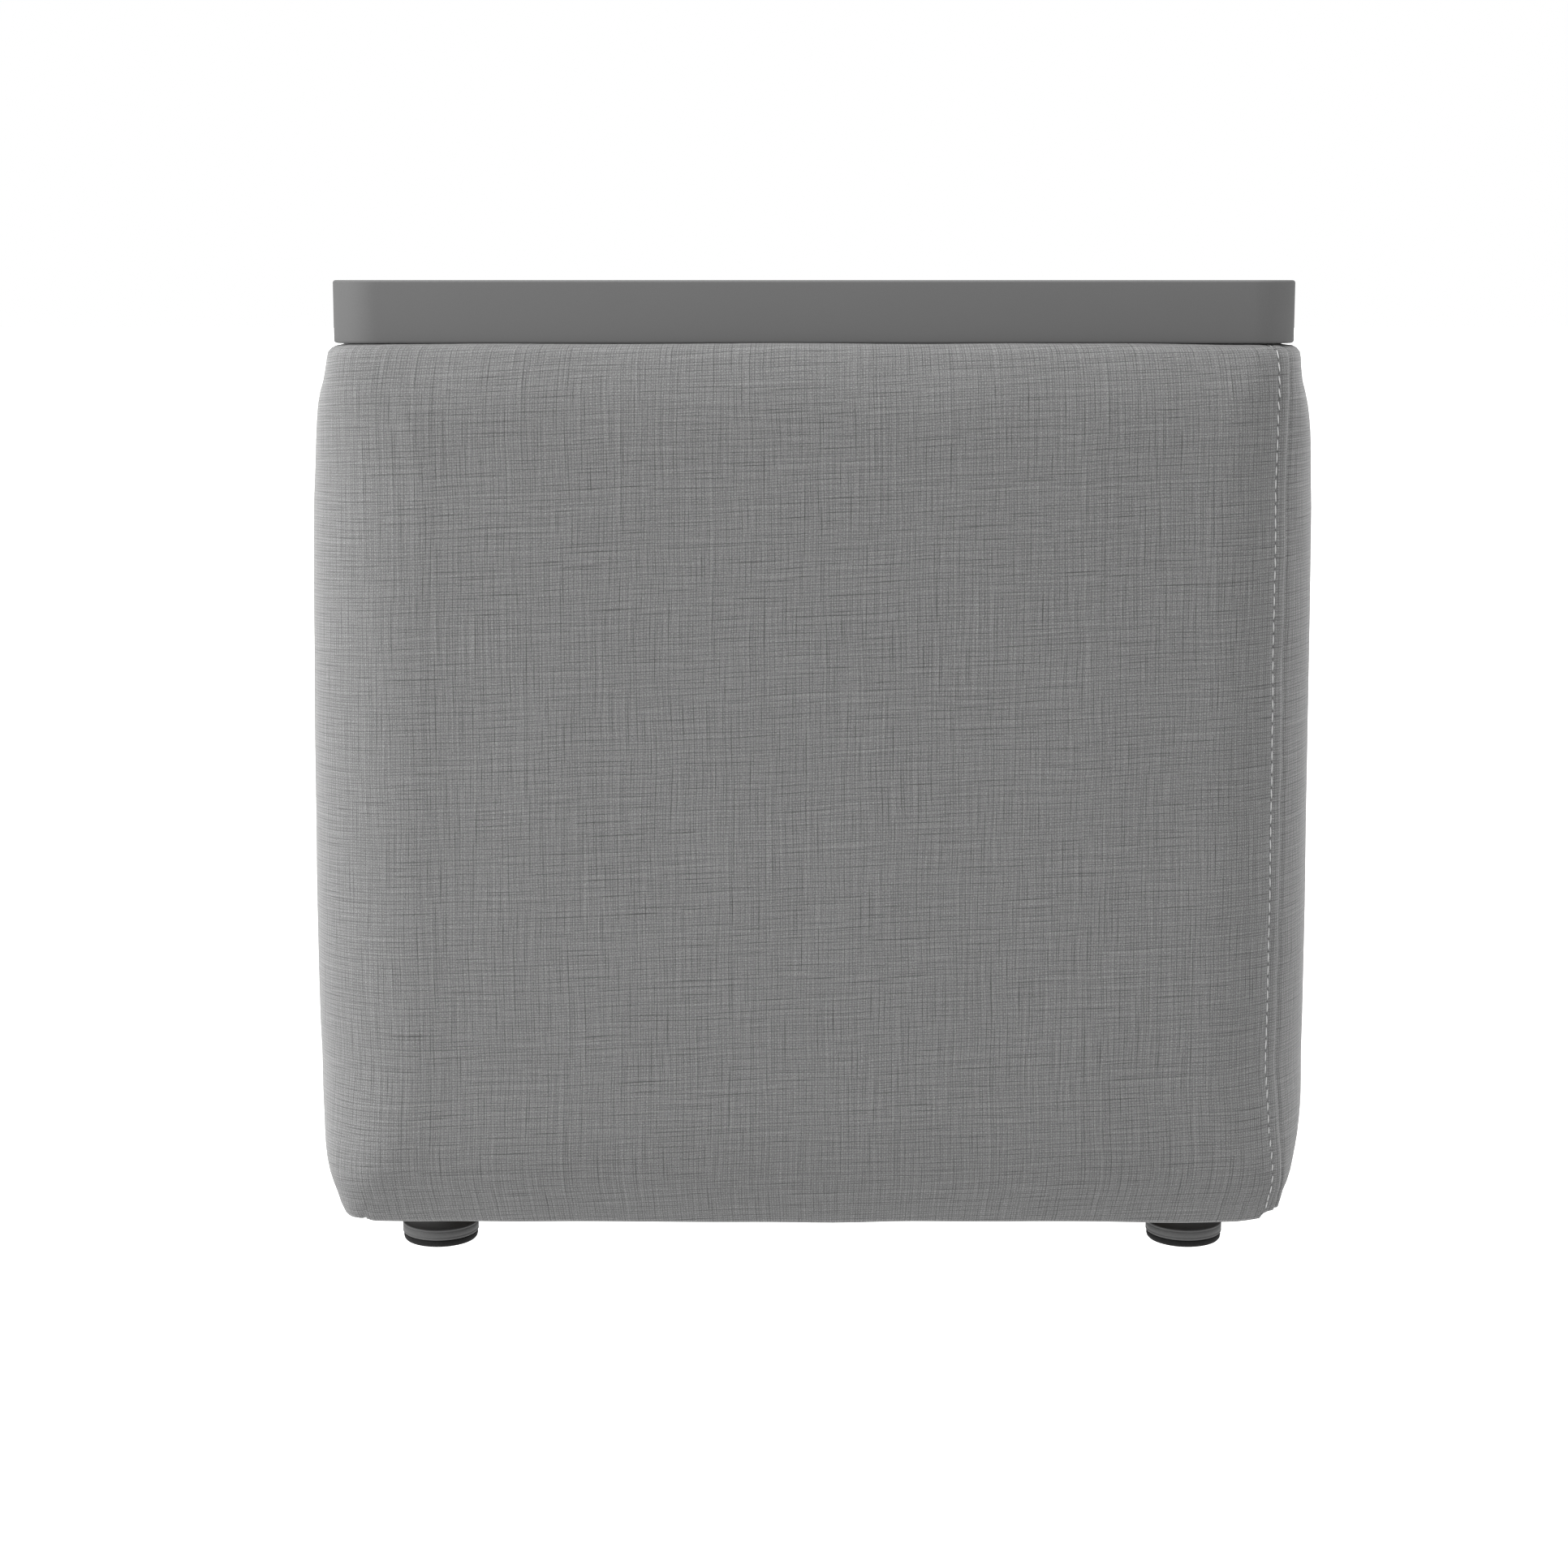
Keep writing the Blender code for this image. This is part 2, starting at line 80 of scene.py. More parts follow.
def makeStudio(spec):
    floor = bmesh.new()
    bmesh.ops.create_grid(floor, x_segments=1, y_segments=1, size=spec["floorSize"] / 2)
    mesh = bpy.data.meshes.new("studioFloor")
    floor.to_mesh(mesh)
    floor.free()
    ground = bpy.data.objects.new("studioFloor", mesh)
    scene.collection.objects.link(ground)
    paper, tree, shader = makeMaterial("paleFloor", spec["floorRoughness"])
    shader.inputs["Base Color"].default_value = (*grey(spec["floorColour"]), 1)
    shader.inputs["Specular IOR Level"].default_value = 0.0
    shader.inputs["Emission Color"].default_value = (1, 1, 1, 1)
    shader.inputs["Emission Strength"].default_value = spec["floorGlow"]
    mesh.materials.append(paper)
    world = bpy.data.worlds.new("studioSky")
    world.use_nodes = True
    tree = world.node_tree
    light = tree.nodes["Background"]
    light.inputs["Color"].default_value = (1, 1, 1, 1)
    light.inputs["Strength"].default_value = spec["skyLight"]
    seen = tree.nodes.new("ShaderNodeBackground")
    seen.inputs["Color"].default_value = (1, 1, 1, 1)
    seen.inputs["Strength"].default_value = spec["skySeen"]
    either = tree.nodes.new("ShaderNodeMixShader")
    tree.links.new(tree.nodes.new("ShaderNodeLightPath").outputs["Is Camera Ray"], either.inputs[0])
    tree.links.new(light.outputs[0], either.inputs[1])
    tree.links.new(seen.outputs[0], either.inputs[2])
    tree.links.new(either.outputs[0], tree.nodes["World Output"].inputs["Surface"])
    scene.world = world
    overhead = bpy.data.lights.new("overheadLight", "SUN")
    overhead.energy = spec["overhead"]["power"]
    overhead.angle = math.radians(spec["overhead"]["spread"])
    holder = bpy.data.objects.new("overheadLight", overhead)
    lean = spec["overhead"]["lean"]
    holder.rotation_euler = (math.radians(lean[0]), math.radians(lean[1]), 0)
    holder.location = (0, 0, spec["overhead"]["height"])
    scene.collection.objects.link(holder)
    for name, place, target, width, height, watts in spec["lamps"]:
        lamp = bpy.data.lights.new(name, "AREA")
        lamp.shape = "RECTANGLE"
        lamp.size = width
        lamp.size_y = height
        lamp.energy = watts
        holder = bpy.data.objects.new(name, lamp)
        holder.location = place
        holder.rotation_euler = (Vector(target) - Vector(place)).to_track_quat("-Z", "Y").to_euler()
        scene.collection.objects.link(holder)


def makeCamera(spec):
    data = bpy.data.cameras.new("studioCamera")
    data.lens = spec["lens"]
    data.shift_y = spec["shiftY"]
    data.clip_start, data.clip_end = spec["clip"]
    camera = bpy.data.objects.new("studioCamera", data)
    camera.location = spec["place"]
    camera.rotation_euler = (math.radians(90 - spec["pitch"]), 0, 0)
    scene.collection.objects.link(camera)
    scene.camera = camera


# Node helpers.
def makeMaterial(name, roughness):
    made = bpy.data.materials.new(name)
    made.use_nodes = True
    shader = made.node_tree.nodes["Principled BSDF"]
    shader.inputs["Roughness"].default_value = roughness
    return made, made.node_tree, shader


def feed(tree, socket, value):
    if hasattr(value, "links"):
        tree.links.new(value, socket)
    else:
        socket.default_value = value


def calc(tree, operation, *values):
    node = tree.nodes.new("ShaderNodeMath")
    node.operation = operation
    for socket, value in zip(node.inputs, values):
        feed(tree, socket, value)
    return node.outputs[0]


def spread(tree, value, low, high, to=(0.0, 1.0), smooth=True):
    node = tree.nodes.new("ShaderNodeMapRange")
    node.interpolation_type = "SMOOTHSTEP" if smooth else "LINEAR"
    feed(tree, node.inputs["Value"], value)
    for name, number in zip(("From Min", "From Max", "To Min", "To Max"), (low, high, *to)):
        node.inputs[name].default_value = number
    return node.outputs["Result"]


def grainOf(tree, vector, scale, detail=2.0, roughness=0.5):
    node = tree.nodes.new("ShaderNodeTexNoise")
    feed(tree, node.inputs["Vector"], vector)
    node.inputs["Scale"].default_value = scale
    node.inputs["Detail"].default_value = detail
    node.inputs["Roughness"].default_value = roughness
    return node.outputs["Fac"]


def joined(tree, x, y, z):
    node = tree.nodes.new("ShaderNodeCombineXYZ")
    for socket, value in zip(node.inputs, (x, y, z)):
        feed(tree, socket, value)
    return node.outputs[0]


def shifted(tree, vector, place):
    node = tree.nodes.new("ShaderNodeMapping")
    feed(tree, node.inputs["Vector"], vector)
    node.inputs["Location"].default_value = place
    return node.outputs[0]


def blendOf(tree, amount, first, second):
    node = tree.nodes.new("ShaderNodeMix")
    node.data_type = "RGBA"
    feed(tree, node.inputs["Factor"], amount)
    for socket, value in ((node.inputs[6], first), (node.inputs[7], second)):
        feed(tree, socket, (*value, 1) if isinstance(value, tuple) else value)
    return node.outputs[2]


def objectPlace(tree):
    return tree.nodes.new("ShaderNodeTexCoord").outputs["Object"]


def bumped(tree, shader, height, strength, distance):
    node = tree.nodes.new("ShaderNodeBump")
    node.inputs["Strength"].default_value = strength
    node.inputs["Distance"].default_value = distance
    feed(tree, node.inputs["Height"], height)
    tree.links.new(node.outputs["Normal"], shader.inputs["Normal"])


def grey(level):
    return (level, level, level)


def tinted(tree, colour, level):
    # the colour, times a level that varies over the surface
    node = tree.nodes.new("ShaderNodeMix")
    node.data_type = "RGBA"
    node.blend_type = "MULTIPLY"
    node.inputs["Factor"].default_value = 1.0
    node.inputs[6].default_value = (*colour, 1)
    feed(tree, node.inputs[7], level)
    return node.outputs[2]


# Upholstery cloth: a plain weave, pale, with thin dark threads lying in both directions, and painted shade in the gaps
# between its yarns.
clothSpec = {
    "weftPitch": 0.00125,
    "warpPitch": 0.00121,
    "slope": 0.044,  # how far the weft climbs to the right
    "ground": 0.115,
    "roughness": 0.92,
    "specular": 0.25,
    "sheen": 0.2,
    "sheenRoughness": 0.5,
    "wanderScale": 17.0,  # waves per metre of each family of yarns, and how many pitches they stray
    "driftScale": 15.0,
    "stray": 2.2,
    "uneven": 1.3,  # how far single yarns stray from even steps, in pitches
    "threadDepth": 0.63,  # how dark the darkest thread is
    "threadMean": 0.50,
    "pairShare": 0.70,
    "loneShare": 0.32,
    "threadNarrow": 1.7,  # higher gives thinner dark threads
    "threadLight": 0.13,  # how much one yarn differs from the next
    "threadAlong": 0.056,  # dark runs per yarn pitch
    "lightAlong": 0.03,
    "crossingShade": (0.95, 0.045, 0.12),  # painted shade of the weave: base, floats on top lighter than those beneath, and crossing tops lighter than the shaded gaps
    "fibreScale": 2500.0,
    "fuzz": (0.3, 1.7),
    "cloudScale": 26.0,
    "cloud": (0.985, 1.015),
    "bumpStrength": 0.35,
    "bumpDepth": 0.0003,
}
rowStep = 3.71  # parts the noise of one yarn from that of the next
noiseRange = (0.24, 0.76)  # nearly all of a noise's values


def makeCoverCloth(spec):
    made, tree, shader = makeMaterial("coverCloth", spec["roughness"])
    shader.inputs["Specular IOR Level"].default_value = spec["specular"]
    shader.inputs["Sheen Weight"].default_value = spec["sheen"]
    shader.inputs["Sheen Roughness"].default_value = spec["sheenRoughness"]
    place = tree.nodes.new("ShaderNodeUVMap")
    place.uv_map = "yarns"
    where = place.outputs[0]
    split = tree.nodes.new("ShaderNodeSeparateXYZ")
    tree.links.new(where, split.inputs[0])
    wander = calc(tree, "SUBTRACT", grainOf(tree, where, spec["wanderScale"]), 0.5)
    elsewhere = shifted(tree, where, (3, 7, 0))
    drift = calc(tree, "SUBTRACT", grainOf(tree, elsewhere, spec["driftScale"]), 0.5)
    across = calc(tree, "DIVIDE", split.outputs[0], spec["warpPitch"])
    across = calc(tree, "MULTIPLY_ADD", wander, spec["stray"], across)
    climb = calc(tree, "MULTIPLY", split.outputs[0], spec["slope"] / spec["weftPitch"])
    up = calc(tree, "SUBTRACT", calc(tree, "DIVIDE", split.outputs[1], spec["weftPitch"]), climb)
    up = calc(tree, "MULTIPLY_ADD", drift, spec["stray"], up)

    def balanced(value):
        return spread(tree, value, *noiseRange, (-1.0, 1.0), smooth=False)

    def yarnNoise(along, step, index, seed):
        # runs slowly along a yarn, and starts afresh on the next
        spot = joined(tree, calc(tree, "MULTIPLY", along, step), calc(tree, "MULTIPLY", index, rowStep), seed)
        return balanced(grainOf(tree, spot, 1.0))

    def family(line, along, seed):
        # (how dark the thread beside this yarn is here, how round the yarn is, its row, its own light)
        spot = joined(tree, calc(tree, "MULTIPLY", along, 0.012), calc(tree, "MULTIPLY", line, 0.42), seed + 9.0)
        line = calc(tree, "MULTIPLY_ADD", grainOf(tree, spot, 1.0, 1.0), spec["uneven"], line)
        row = calc(tree, "FLOOR", line)
        roundness = calc(tree, "SINE", calc(tree, "MULTIPLY", calc(tree, "FRACT", line), math.pi))
        edge = calc(tree, "FLOOR", calc(tree, "ADD", line, 0.5))

        def pairwise(index, step, shift):
            # two neighbours share one wandering number: one takes it, the other its opposite
            pair = calc(tree, "FLOOR", calc(tree, "MULTIPLY", index, 0.5))
            other = calc(tree, "PINGPONG", index, 1.0)
            shared = yarnNoise(along, step, pair, seed + shift)
            return calc(tree, "MULTIPLY", shared, calc(tree, "MULTIPLY_ADD", other, -2.0, 1.0))

        lone = yarnNoise(along, spec["threadAlong"], edge, seed)
        strength = calc(tree, "MULTIPLY", pairwise(edge, spec["threadAlong"], 5.0), spec["pairShare"])
        strength = calc(tree, "MULTIPLY_ADD", lone, spec["loneShare"], strength)
        strength = calc(tree, "MAXIMUM", calc(tree, "ADD", strength, spec["threadMean"]), 0.0)
        valley = calc(tree, "POWER", calc(tree, "SUBTRACT", 1.0, roundness), spec["threadNarrow"])
        light = calc(tree, "MULTIPLY_ADD", pairwise(row, spec["lightAlong"], 41.0), spec["threadLight"], 1.0)
        return calc(tree, "MULTIPLY", strength, valley), roundness, row, light

    warpDark, warpRound, warpRow, warpLight = family(across, up, 23.0)
    weftDark, weftRound, weftRow, weftLight = family(up, across, 0.0)
    odd = calc(tree, "PINGPONG", calc(tree, "ADD", warpRow, weftRow), 1.0)
    side = calc(tree, "MULTIPLY_ADD", odd, -2.0, 1.0)
    crossing = calc(tree, "MULTIPLY", side, calc(tree, "MULTIPLY", warpRound, weftRound))
    lift = calc(tree, "MULTIPLY", calc(tree, "MULTIPLY", warpRound, weftRound), 0.5)
    lift = calc(tree, "MULTIPLY_ADD", calc(tree, "ABSOLUTE", crossing), 0.5, lift)
    keep = calc(tree, "MULTIPLY",
                calc(tree, "MULTIPLY_ADD", warpDark, -spec["threadDepth"], 1.0),
                calc(tree, "MULTIPLY_ADD", weftDark, -spec["threadDepth"], 1.0))
    # painted shade: the gaps between yarns darker than the crossings, and one family's floats lighter than the other's
    base, over, gap = spec["crossingShade"]
    weaveShade = calc(tree, "MULTIPLY_ADD", crossing, over, base)
    weaveShade = calc(tree, "MULTIPLY_ADD", calc(tree, "ABSOLUTE", crossing), gap, weaveShade)
    fibre = grainOf(tree, where, spec["fibreScale"], 1.0, 0.9)
    fuzz = spread(tree, fibre, 0.25, 0.75, spec["fuzz"], smooth=False)
    cloud = grainOf(tree, where, spec["cloudScale"])
    patch = spread(tree, cloud, 0.3, 0.7, spec["cloud"], smooth=False)
    keep = calc(tree, "MULTIPLY", keep, calc(tree, "MULTIPLY", warpLight, weftLight))
    level = calc(tree, "MULTIPLY", calc(tree, "MULTIPLY", keep, weaveShade), calc(tree, "MULTIPLY", fuzz, patch))
    feed(tree, shader.inputs["Base Color"], tinted(tree, grey(spec["ground"]), level))
    bumped(tree, shader, calc(tree, "MULTIPLY_ADD", fibre, 0.4, lift), spec["bumpStrength"], spec["bumpDepth"])
    return made


def finished(name, shape, material):
    mesh = bpy.data.meshes.new(name)
    shape.to_mesh(mesh)
    shape.free()
    piece = bpy.data.objects.new(name, mesh)
    scene.collection.objects.link(piece)
    mesh.materials.append(material)
    mesh.polygons.foreach_set("use_smooth", [True] * len(mesh.polygons))
    return piece


def softened(piece, angle):
    # smooth shading, apart from edges sharper than this many degrees
    bpy.context.view_layer.update()
    with bpy.context.temp_override(object=piece, active_object=piece, selected_editable_objects=[piece]):
        bpy.ops.object.shade_auto_smooth(angle=math.radians(angle))


def rounded(shape, edges, radius, segments):
    bmesh.ops.bevel(shape, geom=edges, offset=radius, offset_type="OFFSET", segments=segments, profile=0.5,
                    affect="EDGES", material=-1, clamp_overlap=True)


def riseOf(edge):
    return abs(edge.verts[0].co.z - edge.verts[1].co.z)


def uprightPrism(halfX, halfY, low, high, radius, segments):
    shape = bmesh.new()
    bmesh.ops.create_cube(shape, size=1)
    bmesh.ops.scale(shape, vec=(2 * halfX, 2 * halfY, high - low), verts=shape.verts)
    bmesh.ops.translate(shape, vec=(0, 0, (high + low) / 2), verts=shape.verts)
    rounded(shape, [e for e in shape.edges if riseOf(e) > tiny], radius, segments)
    return shape


# The cover: one skin down into the case, over its walls, down the outside and in underneath.
coverSpec = {
    "cornerRadius": 0.050,
    "cornerColumns": 72,
    "plainColumns": 24,
    "flatColumns": 60,
    "crowding": 1.30,
    "rows": 92,
    "thick": 0.0010,
    "sag": 0.0005,
    "leastRadius": 0.004,
    "foldRadius": 0.020,  # wider corners than this tighten where the skin folds in
    "foldWidth": 0.030,
    "outsideInset": 0.0172,  # the outside ends where the skin is this far in
    "outsideFade": 0.004,
    "bendRows": (0.010, 400),  # how much rows crowd together at a bend, and the sharpest bend that counts
    "panelShift": (3.137, 0.4131),  # the second panel's cloth doesn't match the first's
    # each curve is (distance in from the fullest outline, drop or rise)
    "hemDrop": 0.040,
    "hemInset": 0.0390,
    "innerCurve": ((0.0, 0.012), (0.0, 0.003), (0.0012, 0.0006), (0.0040, 0.0)),
    "topCurve": ((0.0175, 0.0), (0.0140, 0.0004), (0.0111, 0.0025), (0.0089, 0.0080), (0.0067, 0.0170),
                 (0.0042, 0.0320), (0.0029, 0.0570), (0.0012, 0.1460)),
    "bottomCurve": ((0.0150, 0.0), (0.0122, 0.0002), (0.0115, 0.0010), (0.0109, 0.0025), (0.0097, 0.0050),
                    (0.0072, 0.0120), (0.0047, 0.0185), (0.0026, 0.0262), (0.0006, 0.0430), (0.0, 0.0700)),
    "underCurve": ((0.0260, 0.0), (0.0395, 0.0002)),
    # radius of the plan's corners by height
    "cornerHeights": (0.000, 0.021, 0.025, 0.032, 0.040, 0.050, 0.066, 0.095, 0.360, 0.392, 0.408, 0.422),
    "cornerRadii": (0.012, 0.012, 0.015, 0.021, 0.028, 0.036, 0.047, 0.055, 0.055, 0.049, 0.039, 0.030),
}
seamSpec = {
    "angle": 42.5,  # where the seam crosses its corner, in degrees from the face on its left
    "stitchSetback": 0.0070,
    "grooveDepth": 0.0009,
    "grooveWidth": 0.0011,
    "grooveFade": (0.6, 0.012),  # how much shallower it gets at the top, and over what height
    "lapRise": 0.0003,
    "lapReach": 0.05,
    "lapEdge": 0.0005,
    "stitchDent": (0.00045, 0.0011),  # depth and width
    "pucker": (0.0005, 0.02),
    "stitchPitch": 0.0058,
    "stitchLength": 0.0046,
    "stitchVary": (0.94, 1.04),
    "stitchLean": 4,  # degrees
    "stopBefore": 0.022,  # how far short of the under hem the stitches stop
    "threadRadius": 0.00034,
    "threadFlat": 0.8,
    "threadRise": 0.35,
    "holeRadius": 0.00042,
    "holeShape": (0.9, 1.0, 0.35),
}
# at the foot the cloth is drawn up at both front corners, less at the left one, which has a small tuck
footSpec = {
    # from, full at, full to, gone at, all as distance round the outline; how far up
    "drawn": ((0.1690, 0.1990, 0.2620, 0.2800, 0.0045), (-0.2800, -0.2620, -0.1830, -0.1765, 0.0016)),
    "drawnHeight": 0.0100,
    "tuckAround": -0.1850,
    "tuckWidth": 0.0040,
    "tuckLift": 0.0006,
    "underFade": (0.0150, 0.0220),  # the lift dies away between these distances in
}
# how the skin stands out from its plain shape, each as (how far, at what height, over what height)
reliefSpec = {
    "unevenness": ((0.00035, 9, (0, 0, 0)), (0.00022, 24, (5, 1, 2))),  # how far, how often, which noise
    "lowWaves": (0.0008, 0.028),
    "topWaves": (0.0004, 0.022),
    "underLidPull": (0.0016, 0.408, 0.010),
    "sideSwell": {"left": 0.0014, "right": 0.0007, "from": (0.045, 0.110), "to": (0.345, 0.392)},
    "rightPulls": ((0.0010, 0.403, 0.016), (0.0011, 0.19, 0.08), (0.0026, 0.044, 0.016), (0.0020, 0.027, 0.010)),
    "faceSwell": {"size": 0.0017, "edge": 0.034, "top": (0.6, 0.02), "bottom": (0.9, 0.03)},
    "ridge": {"size": 0.0004, "vary": 0.0002, "height": 0.400, "width": 0.010},
    "leftBulge": {"size": 0.0019, "around": -0.200, "width": 0.060, "height": 0.392, "above": 0.020, "below": 0.070},
}
coverLow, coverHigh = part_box("fabric_cover")
coverHalf = coverHigh.x
flatHalf = coverHalf - coverSpec["cornerRadius"]
quarterArc = coverSpec["cornerRadius"] * math.pi / 2
sideLength = 2 * flatHalf + quarterArc


def makeProfile(spec):
    # (inset, height) along the skin, from the inner hem to the under hem, at even steps
    top, bottom = coverHigh.z, coverLow.z - spec["sag"]
    marks = [(spec["hemInset"], top - spec["hemDrop"])]
    marks += [(spec["hemInset"] - inset, top - drop) for inset, drop in spec["innerCurve"]]
    marks += [(inset, top - drop) for inset, drop in spec["topCurve"]]
    marks += [(inset, bottom + rise) for inset, rise in reversed(spec["bottomCurve"])]
    marks += [(inset, bottom + rise) for inset, rise in spec["underCurve"]]
    marks = np.array(marks)
    along = np.concatenate([[0], np.cumsum(np.linalg.norm(np.diff(marks, axis=0), axis=1))])
    slope = np.gradient(marks, along, axis=0)
    fine = np.linspace(0, along[-1], 4000)
    i = np.clip(np.searchsorted(along, fine, side="right") - 1, 0, len(along) - 2)
    width = (along[i + 1] - along[i])[:, None]
    t = ((fine - along[i]) / (along[i + 1] - along[i]))[:, None]
    curve = ((2 * t**3 - 3 * t**2 + 1) * marks[i] + (t**3 - 2 * t**2 + t) * width * slope[i]
             + (3 * t**2 - 2 * t**3) * marks[i + 1] + (t**3 - t**2) * width * slope[i + 1])
    reach = np.concatenate([[0], np.cumsum(np.linalg.norm(np.diff(curve, axis=0), axis=1))])
    crowd, sharpest = spec["bendRows"]
    turn = np.abs(np.gradient(np.unwrap(np.arctan2(np.gradient(curve[:, 1]), np.gradient(curve[:, 0]))), reach))
    weight = np.cumsum(1 + crowd * np.minimum(turn, sharpest))
    weight = (weight - weight[0]) / (weight[-1] - weight[0])
    at = [float(r) for r in np.interp(np.linspace(0, 1, spec["rows"]), weight, reach)]
    return curve, reach, at


profileCurve, profileReach, rowReach = makeProfile(coverSpec)
seamAround = flatHalf + coverSpec["cornerRadius"] * math.radians(seamSpec["angle"])
seams = (seamAround, seamAround + 2 * sideLength)
rimReach = float(profileReach[np.argmax(profileCurve[:, 0] < coverSpec["outsideInset"])])


def aroundOf(x, y):
    # distance round the fullest outline from the middle of the front, to the right
    for quarter in range(4):
        if y < 0 and abs(x) <= flatHalf + tiny:
            return quarter * sideLength + x
        if x > flatHalf and y < -flatHalf + tiny:
            angle = math.atan2(x - flatHalf, -flatHalf - y)
            return quarter * sideLength + flatHalf + coverSpec["cornerRadius"] * angle
        x, y = y, -x
    return 0.0


@functools.lru_cache(maxsize=None)
def cornerOf(inset, height):
    # (radius of the corner, half the straight part) of the outline at this height
    spec = coverSpec
    radius = float(np.interp(height, spec["cornerHeights"], spec["cornerRadii"]))
    radius -= inset * max(radius - spec["foldRadius"], 0) / spec["foldWidth"]
    radius = max(radius, spec["leastRadius"])
    return radius, coverHalf - inset - radius


def outlineAt(around, inset, height):
    # (place, outward direction, direction to the right) on the outline moved in by inset
    radius, half = cornerOf(inset, height)
    quarter, left = divmod(around + flatHalf, sideLength)
    along = left - flatHalf
    if along <= flatHalf:
        place, outward = Vector((along * half / flatHalf, -coverHalf + inset, 0)), Vector((0, -1, 0))
    else:
        angle = (along - flatHalf) / coverSpec["cornerRadius"]
        outward = Vector((math.sin(angle), -math.cos(angle), 0))
        place = Vector((half, -half, 0)) + outward * radius
    turn = Matrix.Rotation(quarter * math.pi / 2, 3, "Z")
    outward = turn @ outward
    return turn @ place, outward, Vector((-outward.y, outward.x, 0))


def threadAt(around, inset, height):
    # which upright thread lies here: even steps round the real outline
    radius, half = cornerOf(inset, height)
    quarter, left = divmod(around + flatHalf, sideLength)
    along = left - flatHalf
    if along <= flatHalf:
        real = along * half / flatHalf
    else:
        real = half + (along - flatHalf) / coverSpec["cornerRadius"] * radius
    return quarter * sideLength + real * sideLength / (2 * half + radius * math.pi / 2)


def besideSeam(seam, distance, reach):
    # the place that lies this real distance from a seam, across its corner
    inset, height, _, _ = profileAt(reach)
    return seam + distance * coverSpec["cornerRadius"] / cornerOf(inset, height)[0]


def seamDistance(around):
    return min(((around - s + 2 * sideLength) % (4 * sideLength) - 2 * sideLength for s in seams), key=abs)


def bell(x, width):
    return math.exp(-min((x / width) ** 2, 60))


def ramp(x, start, end):
    t = min(max((x - start) / (end - start), 0), 1)
    return t * t * (3 - 2 * t)


@functools.lru_cache(maxsize=None)
def profileAt(reach):
    # (inset, height, change of each along the skin)
    at, ahead, behind = (np.array([np.interp(reach + d, profileReach, profileCurve[:, k]) for k in (0, 1)])
                         for d in (0, 0.0008, -0.0008))
    step = (ahead - behind) / max(float(np.linalg.norm(ahead - behind)), 1e-9)
    return float(at[0]), float(at[1]), float(step[0]), float(step[1])


def reliefAt(around, reach):
    # how far the skin stands out from its plain shape
    inset, height, _, _ = profileAt(reach)
    spec, seam = reliefSpec, seamSpec
    beyond = inset - coverSpec["outsideInset"]
    outside = 1.0 if beyond < 0 else max(0.0, 1 - beyond / coverSpec["outsideFade"])
    fromTop, fromFoot = height - coverHigh.z, height - coverLow.z
    place, outward, _ = outlineAt(around, 0, 0.2)
    spot = Vector((place.x, place.y, height))
    relief = 0.0
    for size, scale, shift in spec["unevenness"]:
        relief += size * noise.noise(spot * scale + Vector(shift))
    size, width = spec["lowWaves"]
    relief += bell(fromFoot, width) * size * noise.noise(Vector((around * 26, height * 12, 3.3)))
    size, width = spec["topWaves"]
    relief += bell(fromTop, width) * size * noise.noise(Vector((around * 20, height * 12, 9.3)))
    # the seam: a groove, the raised lap on its left, and the dent of the stitches
    away = seamDistance(around) * cornerOf(inset, height)[0] / coverSpec["cornerRadius"]
    less, width = seam["grooveFade"]
    relief -= seam["grooveDepth"] * bell(away, seam["grooveWidth"]) * (1 - less * bell(fromTop, width))
    if -seam["lapReach"] < away < 0:
        fromStitch = away + seam["stitchSetback"]
        size, width = seam["stitchDent"]
        relief += seam["lapRise"] * (1 / (1 + math.exp(-fromStitch / seam["lapEdge"])))
        relief -= size * bell(fromStitch, width)
    size, width = seam["pucker"]
    relief += bell(away, width) * size * noise.noise(Vector((reach * 45, away * 60, 1.7)))
    # the sides are drawn in under the lid and swell below it, and the right side is tighter than the left
    right, left, ahead = (max(c, 0) ** 2 for c in (outward.x, -outward.x, -outward.y))
    size, at, width = spec["underLidPull"]
    relief -= size * (right + left) * bell(height - at, width)
    swell = spec["sideSwell"]
    relief += (swell["left"] * left + swell["right"] * right) * ramp(height, *swell["from"]) * (
        1 - ramp(height, *swell["to"]))
    relief -= right * sum(size * bell(height - at, width) for size, at, width in spec["rightPulls"])
    # each face swells a little between its corners
    face = spec["faceSwell"]
    middle = abs((around + flatHalf) % sideLength - flatHalf)
    if middle < flatHalf:
        (lessTop, topWidth), (lessFoot, footWidth) = face["top"], face["bottom"]
        relief += face["size"] * (1 - bell(flatHalf - middle, face["edge"])) * (
            1 - lessTop * bell(fromTop, topWidth)) * (1 - lessFoot * bell(fromFoot, footWidth))
    # a soft ridge under the rim, fullest by the front left corner
    ridge = spec["ridge"]
    size = ridge["size"] + ridge["vary"] * noise.noise(Vector((around * 18, 0, 7.7)))
    relief += size * bell(height - ridge["height"], ridge["width"])
    bulge = spec["leftBulge"]
    width = bulge["above"] if height > bulge["height"] else bulge["below"]
    relief += bulge["size"] * ahead * bell(around - bulge["around"], bulge["width"]) * bell(
        height - bulge["height"], width)
    return relief * outside


def footLift(around, height):
    spec = footSpec
    near = (around + 2 * sideLength) % (4 * sideLength) - 2 * sideLength
    lift = spec["tuckLift"] * bell(near - spec["tuckAround"], spec["tuckWidth"])
    for start, full, ends, gone, up in spec["drawn"]:
        lift += up * ramp(near, start, full) * (1 - ramp(near, ends, gone))
    return lift * bell(height - coverLow.z, spec["drawnHeight"])


